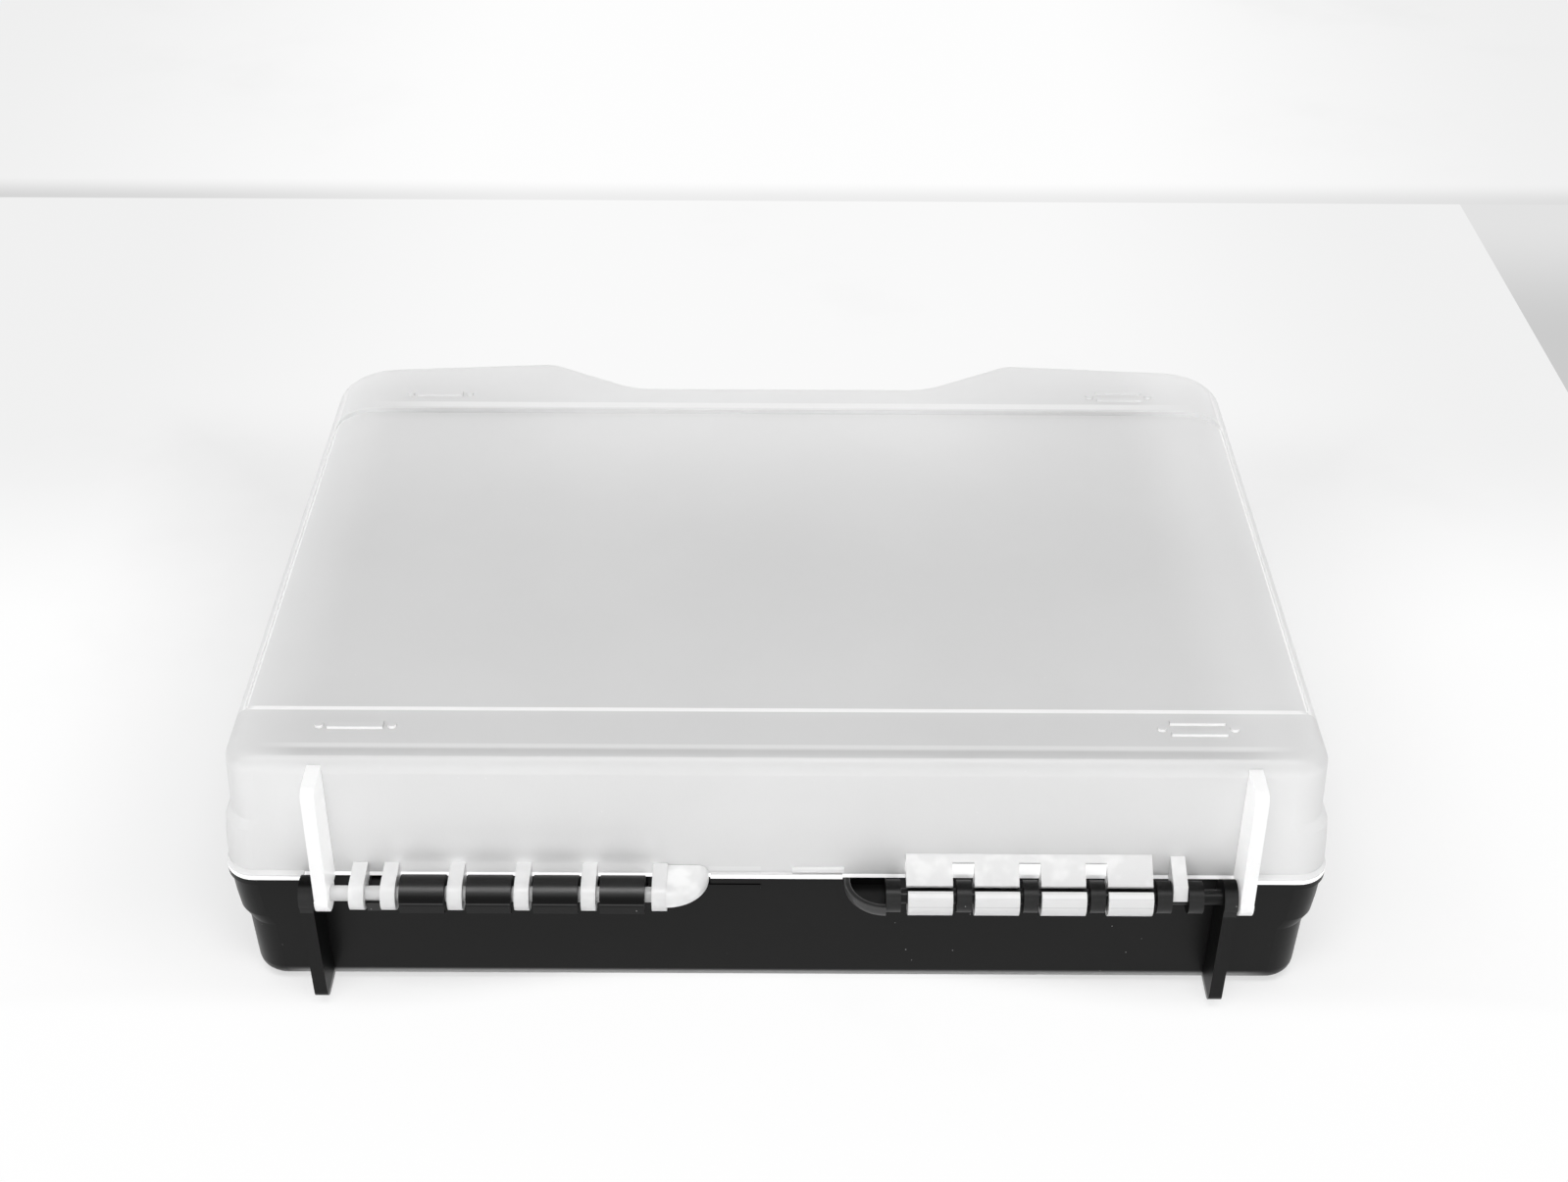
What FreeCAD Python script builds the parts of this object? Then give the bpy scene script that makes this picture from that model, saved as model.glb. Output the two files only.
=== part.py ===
import FreeCAD, Part
import math
import os
import Sketcher
from FreeCAD import Placement, Rotation, Vector

# A flat storage case made of two like half mouldings. The half is drawn with the hinge axis on X at
# Y = 0 and Z = 0, its hollow below Z = 0 and its depth along Y. The lid is the base turned over
# about Y, so each half carries a rod with knuckles at one side and snap clips at the other.

doc = FreeCAD.newDocument("storage_case")

# Driving dimensions in millimetres
SIZES = [
    # Case shell
    ("case_half_width", 154.2, "middle to the rim at a side"),
    ("hinge_wall_y", 7.4, "hinge axis to the outer face of the hinge wall"),
    ("shoulder_y", 233.1, "hinge axis to the peak of a shoulder at the rim"),
    ("shoulder_fall", 5.8, "how far a shoulder falls back on its way to the corner"),
    ("shoulder_length", 76.7, "side of the case to the peak of a shoulder"),
    ("hand_recess_depth", 16.9, "depth of the hand recess between the shoulders"),
    ("hand_recess_slope", 29.2, "peak of a shoulder to where the recess floor begins"),
    ("front_corner_radius", 9.0, "plan radius of the corners beside the hinge"),
    ("far_corner_radius", 19.0, "plan radius of the corners beside the shoulders"),
    ("shoulder_radius", 12.0, "plan radius where a shoulder turns into the recess"),
    ("hand_recess_radius", 22.0, "plan radius where the recess floor begins"),
    ("half_height", 41.0, "parting plane to the outside of the floor strips"),
    ("wall_thickness", 2.4, "walls of the shell"),
    ("floor_thickness", 2.2, "floor of the shell"),
    ("band_height", 16.0, "the rounded band below the rim"),
    ("band_inset", 1.1, "how far the band curves in"),
    ("step_height", 3.3, "height of the sloping step under the band"),
    ("step_inset", 2.0, "depth of the step"),
    ("lower_inset", 0.8, "draft of the wall below the step"),
    ("hinge_wall_inset", 0.8, "draft of the hinge wall over the half's height"),
    ("floor_edge_radius", 5.2, "rounding between walls and floor"),
    ("inner_edge_radius", 3.2, "rounding inside the hollow"),
    ("panel_front_y", 30.2, "hinge axis to the front ridge of the floor panel"),
    ("panel_back_margin", 21.2, "back ridge of the panel to the floor of the hand recess"),
    ("panel_side_margin", 6.6, "side of the panel to the side of the case"),
    ("panel_depth", 1.5, "how far the panel lies below the strips"),
    ("panel_far_radius", 12.0, "corners of the panel at its back ridge"),
    ("panel_near_radius", 2.0, "corners of the panel at its front ridge"),
    ("rim_thickness", 1.8, "thickness of the rim pads on the hinge wall"),
    ("rim_corner_y", 5.2, "hinge axis to the rim outboard of the feet"),
    ("rim_pad_edge", 0.4, "small corners of the rim pads"),
    ("rim_middle_depth", 0.7, "how far the rim stands out in the middle"),
    ("rim_middle_gap", 0.45, "that rim to the scoops at its ends"),
    ("rim_bar_start", 4.4, "middle to the locating bar on the hinge wall"),
    ("rim_bar_length", 14.5, "length of the locating bar"),
    ("rim_bar_height", 1.5, "height of the locating bar"),
    ("rim_bar_drop", 2.3, "parting plane to the locating bar"),
    # Rim lip and its rebate
    ("lip_thickness", 1.0, "thickness of the lip inside the rim"),
    ("lip_height", 1.5, "how far the lip reaches into the other half"),
    ("lip_clearance", 0.25, "room round the lip in its rebate"),
    ("lip_end_gap", 1.5, "middle to the end of the lip"),
    # Hinge
    ("rod_radius", 2.15, "hinge rod"),
    ("rod_fit", 0.03, "room between the rod and its bores"),
    ("rod_end_depth", 2.6, "how far the rod enters the inner foot"),
    ("rod_chamfer", 0.4, "chamfer on the ends of the rod"),
    ("knuckle_radius", 4.5, "knuckle discs"),
    ("knuckle_width", 4.1, "width of a knuckle"),
    ("knuckle_web_drop", 4.9, "how far the web of a knuckle runs down the wall"),
    ("row_least_start", 40.0, "least room from the middle to the even row of knuckles"),
    ("outer_knuckle_gap", 5.55, "inner foot to the knuckle beside it"),
    ("inner_knuckle_gap", 1.95, "knuckle at the rod's inner end to the first clip"),
    ("clip_running_gap", 0.25, "room between a clip and the rod"),
    ("clip_outer_radius", 5.3, "outside of a clip"),
    ("clip_width", 12.3, "width of a clip"),
    ("clip_inner_gap", 0.8, "clip to the knuckle on its inner side"),
    ("clip_outer_gap", 1.15, "clip to the knuckle on its outer side"),
    ("clip_tip_drop", 3.9, "parting plane to the tip of a clip"),
    ("clip_tip_width", 1.1, "flat at the tip of a clip"),
    ("clip_bead", 0.45, "how far the snap bead narrows the mouth"),
    ("plate_top", 2.85, "parting plane to the clip plate"),
    ("plate_front_y", 0.3, "hinge axis to the front of the clip plate"),
    ("plate_edge", 0.6, "height of the plate's front edge"),
    ("plate_root", 8.8, "parting plane to where the sloping plate meets the wall"),
    ("plate_margin", 0.4, "how far the plate passes the outer clips"),
    ("notch_side_gap", 0.95, "room beside a knuckle in the plate's notch"),
    ("notch_depth", 5.3, "depth of a notch into the plate"),
    ("stop_width", 4.0, "width of the rod stop"),
    ("stop_gap", 0.3, "room between the rod stop and the knuckles beside it"),
    ("stop_seat", 0.9, "parting plane to where a stop or a clip's mouth opens"),
    ("stop_front_y", 2.9, "how far the rod stop passes the axis"),
    ("stop_nose_y", 1.6, "how far its nose passes the axis"),
    ("stop_root", 8.3, "how far the rod stop runs down the wall"),
    ("stop_nose", 5.0, "height of the nose of the rod stop"),
    ("scoop_radius", 11.3, "plan radius of the scoop at the rod's inner end"),
    ("scoop_middle_y", 6.1, "hinge axis to the middle of that radius"),
    ("scoop_height", 4.3, "height of the scoop"),
    ("scoop_wall", 1.7, "wall of the scoop"),
    ("scoop_edge_radius", 2.9, "rounding of the scoop's lower edge"),
    # Feet
    ("foot_radius", 5.0, "round end of a foot about the hinge axis"),
    ("foot_width", 3.75, "thickness of a foot"),
    ("outer_foot_margin", 23.05, "side of the case to the outer foot"),
    ("foot_gap", 0.6, "room between the inner foot and the other half's outer foot"),
    ("foot_length", 38.4, "parting plane to the end of a foot"),
    ("foot_groove_drop", 1.1, "parting plane to the groove under the round end"),
    ("foot_groove_depth", 0.35, "depth of that groove"),
    ("foot_setback", 2.2, "how far the face of a foot is drafted back at its end"),
    ("foot_corner", 3.4, "rounding at the end of a foot"),
    ("foot_root", 4.0, "extra length trimmed to the hinge wall"),
    # Stacking marks
    ("mark_height", 0.8, "how far the marks stand out"),
    ("mark_side_margin", 38.7, "side of the case to the middle of a group of marks"),
    ("mark_near_y", 22.7, "hinge axis to the near marks"),
    ("mark_far_margin", 11.9, "far marks to the floor of the hand recess"),
    ("mark_bar_length", 15.3, "length of a bar"),
    ("mark_bar_width", 2.9, "width of the single bar"),
    ("mark_twin_width", 1.5, "width of each twin bar"),
    ("mark_twin_spacing", 4.8, "spacing of the twin bars"),
    ("mark_dot_radius", 1.25, "the dots at both ends"),
    ("mark_dot_offset", 10.0, "middle of a mark to a dot"),
    # Carrying handle
    ("handle_proud", 12.9, "how far the handle passes the shoulders"),
    ("handle_bar", 12.0, "thickness of the bar"),
    ("handle_post", 7.0, "thickness of a post"),
    ("handle_side_gap", 1.3, "side of the handle to the end of the recess floor"),
    ("handle_half_height", 10.0, "height of one half of the handle"),
    ("handle_corner", 12.0, "outside corners of the handle"),
    ("handle_inner_corner", 6.0, "inside corners of the handle"),
    ("handle_grip_radius", 3.0, "rounding of the grip"),
    ("handle_root", 6.0, "extra length trimmed to the recess floor"),
    # Latch rails and latches
    ("rail_stem", 2.0, "half thickness of the rail's stem"),
    ("rail_reach", 3.4, "shoulder peak to the head of the rail"),
    ("rail_head", 2.0, "thickness of the head"),
    ("rail_head_height", 5.5, "half height of the head"),
    ("rail_root", 6.0, "extra length trimmed to the shoulder"),
    ("rail_inner_gap", 8.5, "peak of a shoulder to the inner end of the long rail"),
    ("short_rail_extra", 1.5, "how much longer the short rail is than a latch"),
    ("rail_stop", 1.5, "thickness of the end stops"),
    ("rail_stop_height", 7.0, "height of the end stops"),
    ("latch_length", 16.0, "length of a latch slider"),
    ("latch_travel", 18.8, "slide between open and shut"),
    ("latch_gap", 0.3, "room between latch and rail"),
    ("latch_end_gap", 0.9, "room at the outer stop when a latch is shut"),
    ("latch_wall", 2.4, "wall of the latch"),
    ("latch_rib_count", 5, "finger ribs"),
    ("latch_rib_width", 1.2, "width of a finger rib"),
    ("latch_rib_height", 0.9, "height of a finger rib"),
    ("latch_rib_margin", 1.6, "end of the latch to its first rib"),
    ("latch_edge", 0.8, "rounding of the latch"),
    # Helpers for cuts
    ("overrun", 1.0, "how far cutting tools pass a face"),
]

sheet = doc.addObject("Spreadsheet::Sheet", "sizes")
for row, (alias, value, note) in enumerate(SIZES, 1):
    sheet.set("A%d" % row, note)
    sheet.set("B%d" % row, str(value))
    sheet.setAlias("B%d" % row, alias)
doc.recompute()


def size(name):
    """Reads a driving dimension from the sheet."""
    return float(sheet.get(name))


# Derived places, as expressions of the driving dimensions
HINGE_WALL_SLOPE = "sizes.hinge_wall_inset / sizes.half_height"
HANDLE_REACH = "(sizes.shoulder_y + sizes.handle_proud)"
SHIFT_Y = "-(%s - sizes.clip_outer_radius) / 2" % HANDLE_REACH
SHIFT_Z = "sizes.half_height + sizes.mark_height"
BORE_RADIUS = "(sizes.rod_radius + sizes.rod_fit)"
CLIP_BORE = "(sizes.rod_radius + sizes.clip_running_gap)"

# Far side, from the side of the case inward
SHOULDER_HALF = "(sizes.case_half_width - sizes.shoulder_length)"
RECESS_HALF = "(%s - sizes.hand_recess_slope)" % SHOULDER_HALF
RECESS_Y = "(sizes.shoulder_y - sizes.hand_recess_depth)"
HANDLE_HALF = "(%s - sizes.handle_side_gap)" % RECESS_HALF
MARK_X = "(sizes.case_half_width - sizes.mark_side_margin)"
RAIL_INNER_X = "(%s + sizes.rail_inner_gap)" % SHOULDER_HALF
RAIL_OUTER_X = ("(%s + sizes.latch_gap + sizes.latch_length + sizes.latch_travel"
                " + sizes.latch_end_gap)" % RAIL_INNER_X)

# Hinge row, from the side of the case inward; as many knuckles as fit
OUTER_FOOT_X = "(sizes.case_half_width - sizes.outer_foot_margin - sizes.foot_width)"
INNER_FOOT_X = "(%s - sizes.foot_gap - sizes.foot_width)" % OUTER_FOOT_X
OUTER_KNUCKLE_X = "(%s - sizes.outer_knuckle_gap - sizes.knuckle_width)" % INNER_FOOT_X
STOP_X = "(%s - sizes.stop_gap - sizes.stop_width)" % OUTER_KNUCKLE_X
LAST_KNUCKLE_X = "(%s - sizes.stop_gap - sizes.knuckle_width)" % STOP_X
PITCH = "(sizes.knuckle_width + sizes.clip_inner_gap + sizes.clip_width + sizes.clip_outer_gap)"
ROW_STEPS = "floor((%s - sizes.row_least_start) / %s)" % (LAST_KNUCKLE_X, PITCH)
ROW_COUNT = "(%s + 1)" % ROW_STEPS
FIRST_KNUCKLE_X = "(%s - %s * %s)" % (LAST_KNUCKLE_X, PITCH, ROW_STEPS)
FIRST_CLIP_X = "(%s - sizes.clip_outer_gap - sizes.clip_width)" % FIRST_KNUCKLE_X
ROD_X = "(%s - sizes.inner_knuckle_gap - sizes.knuckle_width)" % FIRST_CLIP_X


def value(expression):
    """Works out an expression of the driving dimensions."""
    return float(sheet.evalExpression(expression))


def wall_y(drop):
    """The outer face of the hinge wall at a depth below the parting plane."""
    return "sizes.hinge_wall_y + (%s) * %s" % (drop, HINGE_WALL_SLOPE)


def place(part, turned):
    """Sets a sub-part of the base, or of the lid that is turned over, into the case's frame."""
    part.Placement = Placement(Vector(), Rotation(Vector(0, 1, 0), 180 if turned else 0))
    part.setExpression("Placement.Base.y", SHIFT_Y)
    part.setExpression("Placement.Base.z", SHIFT_Z)


def new_body(label):
    body = doc.addObject("PartDesign::Body", label)
    body.Label = label
    return body


def origin_item(body, role):
    return [item for item in body.Origin.OriginFeatures if item.Role == role][0]


def draw(body, name, role, offset, corners, arcs=None, bore=None):
    """Sketches a closed outline on an origin plane of the body, moved along its normal by offset.

    A corner is a pair of expressions. One that starts with ~ only places the point, which an arc
    then holds. The arcs turn about the origin, left or right, from the corner that they are named by.
    """
    arcs = arcs or {}
    sketch = body.newObject("Sketcher::SketchObject", name)
    sketch.AttachmentSupport = [(origin_item(body, role), "")]
    sketch.MapMode = "FlatFace"
    sketch.setExpression("AttachmentOffset.Base.z", offset)
    points = [Vector(*(body.evalExpression(text.lstrip("~")) for text in corner)) for corner in corners]
    ends = []
    for side, start in enumerate(points):
        end = points[(side + 1) % len(points)]
        if side not in arcs:
            sketch.addGeometry(Part.LineSegment(start, end), False)
            ends.append((1, 2))
            continue
        first, last = (start, end) if arcs[side] == "left" else (end, start)
        circle = Part.Circle(Vector(), Vector(0, 0, 1), start.Length)
        arc = Part.ArcOfCircle(circle, math.atan2(first.y, first.x), math.atan2(last.y, last.x))
        sketch.addGeometry(arc, False)
        sketch.addConstraint(Sketcher.Constraint("Coincident", side, 3, -1, 1))
        ends.append((1, 2) if arcs[side] == "left" else (2, 1))
    for side in range(len(points)):
        following = (side + 1) % len(points)
        join = Sketcher.Constraint("Coincident", side, ends[side][1], following, ends[following][0])
        sketch.addConstraint(join)
    for side, corner in enumerate(corners):
        for kind, letter, text, now in zip(("DistanceX", "DistanceY"), "xy", corner, points[side]):
            if text.startswith("~"):
                continue
            constraint = Sketcher.Constraint(kind, -1, 1, side, ends[side][0], now)
            sketch.addConstraint(constraint)
            title = "corner%d%s" % (side, letter)
            sketch.renameConstraint(sketch.ConstraintCount - 1, title)
            if text != "0":
                sketch.setExpression("Constraints." + title, text)
    if bore:
        add_circle(body, sketch, "0", "0", bore)
    return sketch


def add_circle(body, sketch, x, y, radius):
    """Adds a circle whose middle and radius follow expressions."""
    middle = Vector(body.evalExpression(x), body.evalExpression(y))
    index = sketch.addGeometry(Part.Circle(middle, Vector(0, 0, 1), body.evalExpression(radius)), False)
    for kind, text, now in (("DistanceX", x, middle.x), ("DistanceY", y, middle.y)):
        sketch.addConstraint(Sketcher.Constraint(kind, -1, 1, index, 3, now))
        if text != "0":
            title = "circle%d%s" % (index, kind[-1])
            sketch.renameConstraint(sketch.ConstraintCount - 1, title)
            sketch.setExpression("Constraints." + title, text)
    sketch.addConstraint(Sketcher.Constraint("Radius", index, body.evalExpression(radius)))
    title = "circle%dradius" % index
    sketch.renameConstraint(sketch.ConstraintCount - 1, title)
    sketch.setExpression("Constraints." + title, radius)


def draw_circle(body, name, role, offset, x, y, radius):
    sketch = body.newObject("Sketcher::SketchObject", name)
    sketch.AttachmentSupport = [(origin_item(body, role), "")]
    sketch.MapMode = "FlatFace"
    sketch.setExpression("AttachmentOffset.Base.z", offset)
    add_circle(body, sketch, x, y, radius)
    return sketch


def extrude(body, kind, name, sketch, length):
    """Pads or pockets a sketch along its normal; a pocket is turned so that it cuts that way too."""
    feature = body.newObject("PartDesign::" + kind, name)
    feature.Profile = sketch
    feature.Reversed = kind == "Pocket"
    feature.setExpression("Length", length)
    body.Tip = feature
    doc.recompute()
    return feature


def repeat(body, name, features, axis, spacing, count):
    """Repeats features along an origin axis of the body."""
    pattern = body.newObject("PartDesign::LinearPattern", name)
    pattern.Originals = features
    pattern.Direction = (origin_item(body, axis), [""])
    pattern.Mode = "Spacing"
    pattern.setExpression("Offset", spacing)
    pattern.setExpression("Occurrences", count)
    body.Tip = pattern
    doc.recompute()
    return pattern


def round_edges(body, name, base, radius, picked):
    """Rounds the edges of a feature that a test picks."""
    names = ["Edge%d" % (i + 1) for i, edge in enumerate(base.Shape.Edges) if picked(edge)]
    fillet = body.newObject("PartDesign::Fillet", name)
    fillet.Base = (base, names)
    fillet.setExpression("Radius", radius)
    body.Tip = fillet
    doc.recompute()
    return fillet


def edge_box(edge):
    """The middle and the spans of an edge's box."""
    box = edge.BoundBox
    return box.Center, Vector(box.XLength, box.YLength, box.ZLength)


# Case shell

def case_outline(drop, inward):
    """The plan outline at a depth, moved inward: hinge side straight, far side recessed.

    The outline is a polygon whose sides are moved in and whose corners are then rounded. Outer
    corners lose what the sides move inward and inner ones gain it, so the wall keeps its thickness.
    """
    half = size("case_half_width")
    peak = size("shoulder_y")
    right = [
        (Vector(half, size("hinge_wall_y")), size("front_corner_radius"), -1),
        (Vector(half, peak - size("shoulder_fall")), size("far_corner_radius"), -1),
        (Vector(value(SHOULDER_HALF), peak), size("shoulder_radius"), -1),
        (Vector(value(RECESS_HALF), value(RECESS_Y)), size("hand_recess_radius"), 1),
    ]
    side = side_inset(drop) + inward
    hinge_side = front_inset(drop) + inward
    left = [(Vector(-p.x, p.y), r, sign) for p, r, sign in reversed(right)]
    corners = right + left
    count = len(corners)
    moved = []
    for i in range(count):
        before = corners[i - 1][0]
        here, radius, sign = corners[i]
        after = corners[(i + 1) % count][0]
        inset_in = hinge_side if i == 0 else side
        inset_out = hinge_side if i == count - 1 else side
        run_in = (here - before).normalize()
        run_out = (after - here).normalize()
        normal_in = Vector(-run_in.y, run_in.x)
        normal_out = Vector(-run_out.y, run_out.x)
        cross = run_in.x * run_out.y - run_in.y * run_out.x
        gap = normal_out * inset_out - normal_in * inset_in
        step = (gap.x * run_out.y - gap.y * run_out.x) / cross
        point = here + normal_in * inset_in + run_in * step
        moved.append((point, radius + sign * inward))
    return rounded_wire(moved, -drop)


def rounded_wire(corners, z):
    """A closed wire of straight sides joined by tangent arcs at the corners."""
    count = len(corners)
    joints = []
    for i in range(count):
        here, radius = corners[i]
        back = (corners[i - 1][0] - here).normalize()
        ahead = (corners[(i + 1) % count][0] - here).normalize()
        half_angle = back.getAngle(ahead) / 2
        reach = radius / math.tan(half_angle)
        inward = (back + ahead).normalize()
        middle = here + inward * (radius / math.sin(half_angle) - radius)
        joints.append((here + back * reach, middle, here + ahead * reach))
    lift = Vector(0, 0, z)
    edges = []
    for i in range(count):
        start, middle, end = (point + lift for point in joints[i])
        edges.append(Part.Arc(start, middle, end).toShape())
        edges.append(Part.LineSegment(end, joints[(i + 1) % count][0] + lift).toShape())
    return Part.Wire(edges)


def side_inset(drop):
    """How far the side walls stand in at a depth: a curved band, a sloping step and a drafted wall."""
    band = size("band_height")
    if drop <= band:
        return size("band_inset") * (drop / band) ** 2
    step_end = band + size("step_height")
    share = (drop - step_end) / (size("half_height") - step_end)
    return size("band_inset") + size("step_inset") + size("lower_inset") * share


def front_inset(drop):
    """How far the hinge wall stands in at a depth."""
    return size("hinge_wall_inset") * drop / size("half_height")


BAND_LEVEL_SHARES = (0, 1 / 3, 2 / 3, 1)


def stacked(wires, ruled):
    return Part.makeLoft(wires, True, ruled)


def shell_block(inward, depth):
    """The solid inside the outline moved inward, from the parting plane down to a depth."""
    band = size("band_height")
    step_end = band + size("step_height")

    def wire(drop):
        return case_outline(drop, inward)

    upper = stacked([wire(band * share) for share in BAND_LEVEL_SHARES], False)
    step = stacked([wire(band), wire(step_end)], True)
    lower = stacked([wire(step_end), wire(depth)], True)
    return upper.fuse([step, lower]).removeSplitter()


def rounded_floor(block, depth, radius):
    """Rounds the edge round the floor of a block."""
    edges = [e for e in block.Edges if abs(e.BoundBox.ZMax + depth) < radius / 2
             and e.BoundBox.ZLength < radius / 2]
    return block.makeFillet(radius, edges)


def floor_panel(grow, bottom, top):
    """The block of the sunk floor panel between its ridges."""
    half = size("case_half_width") - size("panel_side_margin") + grow
    front = size("panel_front_y") - grow
    back = value(RECESS_Y) - size("panel_back_margin") + grow
    near = size("panel_near_radius") + grow
    far = size("panel_far_radius") + grow
    corners = [(Vector(half, front), near), (Vector(half, back), far),
               (Vector(-half, back), far), (Vector(-half, front), near)]
    return Part.Face(rounded_wire(corners, bottom)).extrude(Vector(0, 0, top - bottom))


def rim_ring(outer_inward, inner_inward, bottom, top, start):
    """A strip along the rim at the side of positive X, between two outlines moved inward."""
    outer = Part.Face(case_outline(0, outer_inward))
    inner = Part.Face(case_outline(0, inner_inward))
    ring = outer.cut(inner).extrude(Vector(0, 0, top - bottom))
    ring.translate(Vector(0, 0, bottom))
    span = size("case_half_width") + size("overrun")
    depth = size("shoulder_y") + size("overrun")
    keep = Part.makeBox(span, depth, top - bottom, Vector(start, 0, bottom))
    return ring.common(keep)


def mirrored_x(shape):
    return shape.mirror(Vector(), Vector(1, 0, 0))


def outer_form():
    """The half's outside as a full block, which trims what stands on the far wall."""
    return rounded_floor(shell_block(0, size("half_height")), size("half_height"),
                         size("floor_edge_radius"))


def rim_pads():
    """The rim outboard of the feet and in the middle of the hinge wall, with the locating bar."""
    half = size("case_half_width")
    front = size("rim_corner_y")
    thick = size("rim_thickness")
    wall = size("hinge_wall_y")
    deep = wall + size("front_corner_radius")
    start = value(OUTER_FOOT_X) + size("foot_width") + size("clip_running_gap")
    edge = size("rim_pad_edge")
    corners = [(Vector(start, front), edge), (Vector(half, front), size("front_corner_radius")),
               (Vector(half, deep), edge), (Vector(start, deep), edge)]
    corner = Part.Face(rounded_wire(corners, -thick)).extrude(Vector(0, 0, thick))
    reach = size("rim_middle_depth")
    end = value(ROD_X) - size("scoop_radius") - size("rim_middle_gap")
    middle = Part.makeBox(2 * end, reach + edge, thick, Vector(-end, wall - reach, -thick))
    bar_x = size("rim_bar_start")
    drop = size("rim_bar_drop") + size("rim_bar_height")
    bar = Part.makeBox(size("rim_bar_length"), reach + edge, size("rim_bar_height"),
                       Vector(-bar_x - size("rim_bar_length"), wall - reach, -drop))
    return [corner, mirrored_x(corner), middle, bar]


def shell_shape():
    """Walls, floor and rim of a half, with the rebate that takes the lip of the other half."""
    depth = size("half_height")
    wall = size("wall_thickness")
    floor = size("floor_thickness")
    inside = rounded_floor(shell_block(wall, depth - floor), depth - floor, size("inner_edge_radius"))
    panel = size("panel_depth")
    overrun = size("overrun")
    outside = outer_form().cut(floor_panel(0, -depth - overrun, panel - depth))
    outside = outside.fuse(rim_pads())
    inside = inside.cut(floor_panel(floor, -depth, floor + panel - depth))
    lip = size("lip_thickness") + size("lip_clearance")
    rebate = rim_ring(wall - lip, wall + overrun, -size("lip_height") - size("lip_clearance"),
                      0, size("lip_end_gap") - size("lip_clearance"))
    return outside.cut(inside).cut(mirrored_x(rebate)).removeSplitter()


def lip_shape():
    """The lip that stands up from the inner edge of the rim at the side of positive X."""
    wall = size("wall_thickness")
    return rim_ring(wall - size("lip_thickness"), wall, 0, size("lip_height"), size("lip_end_gap"))


def add_shape(label, shape, turned):
    part = doc.addObject("Part::Feature", label)
    part.Label = label
    part.Shape = shape
    place(part, turned)
    return part


# Hinge

def add_rod(label, turned):
    body = new_body(label)
    sketch = draw_circle(body, label + "_section", "YZ_Plane", ROD_X, "0", "0", "sizes.rod_radius")
    length = "%s + sizes.rod_end_depth - %s" % (INNER_FOOT_X, ROD_X)
    pad = extrude(body, "Pad", label + "_length", sketch, length)
    chamfer = body.newObject("PartDesign::Chamfer", label + "_ends")
    rims = [i + 1 for i, e in enumerate(pad.Shape.Edges) if edge_box(e)[1].x < size("rod_radius")]
    chamfer.Base = (pad, ["Edge%d" % i for i in rims])
    chamfer.setExpression("Size", "sizes.rod_chamfer")
    body.Tip = chamfer
    place(body, turned)
    return body


def add_knuckles(label, turned):
    """Discs round the rod, each on a web that runs to the hinge wall and down it."""
    body = new_body(label)
    corners = [
        (wall_y("0"), "0"),
        ("sizes.knuckle_radius", "0"),
        ("0", "~-sizes.knuckle_radius"),
        (wall_y("sizes.knuckle_web_drop"), "-sizes.knuckle_web_drop"),
    ]
    arcs = {1: "left"}
    for number, start in enumerate((ROD_X, FIRST_KNUCKLE_X, OUTER_KNUCKLE_X)):
        name = "%s_%d" % (label, number)
        sketch = draw(body, name + "_section", "YZ_Plane", start, corners, arcs, BORE_RADIUS)
        pad = extrude(body, "Pad", name, sketch, "sizes.knuckle_width")
        if number == 1:
            repeat(body, label + "_row", [pad], "X_Axis", PITCH, ROW_COUNT)
    place(body, turned)
    return body


def row_start(first, width, steps):
    """Where a row at the side of negative X begins, which runs towards the middle."""
    return "-%s - %s - %s * %s" % (first, width, PITCH, steps)


def add_clips(label, turned):
    """Hooked clips that snap over the rod of the other half; the bead narrows their mouth."""
    body = new_body(label)
    outer = "sizes.clip_outer_radius"
    tip = "sizes.clip_tip_drop"
    inner_tip = "%s - sizes.clip_bead" % CLIP_BORE
    corners = [
        (outer, "-sizes.plate_top"),
        (outer, "0"),
        ("~-" + outer, "0"),
        ("-%s + sizes.clip_bead" % outer, "-%s + sizes.clip_tip_width" % tip),
        ("-(%s) - sizes.clip_bead - sizes.clip_tip_width" % inner_tip, "-" + tip),
        ("-(%s) - sizes.clip_bead" % inner_tip, "-" + tip),
        ("-(%s)" % inner_tip, "-%s + sizes.clip_tip_width" % tip),
        ("~-sqrt(%s^2 - sizes.stop_seat^2)" % CLIP_BORE, "-sizes.stop_seat"),
        (CLIP_BORE, "0"),
        (CLIP_BORE, "-sizes.plate_top"),
    ]
    start = row_start(FIRST_CLIP_X, "sizes.clip_width", ROW_STEPS)
    sketch = draw(body, label + "_section", "YZ_Plane", start, corners, {1: "left", 7: "right"})
    pad = extrude(body, "Pad", label + "_one", sketch, "sizes.clip_width")
    repeat(body, label + "_row", [pad], "X_Axis", PITCH, ROW_COUNT)
    place(body, turned)
    return body


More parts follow.
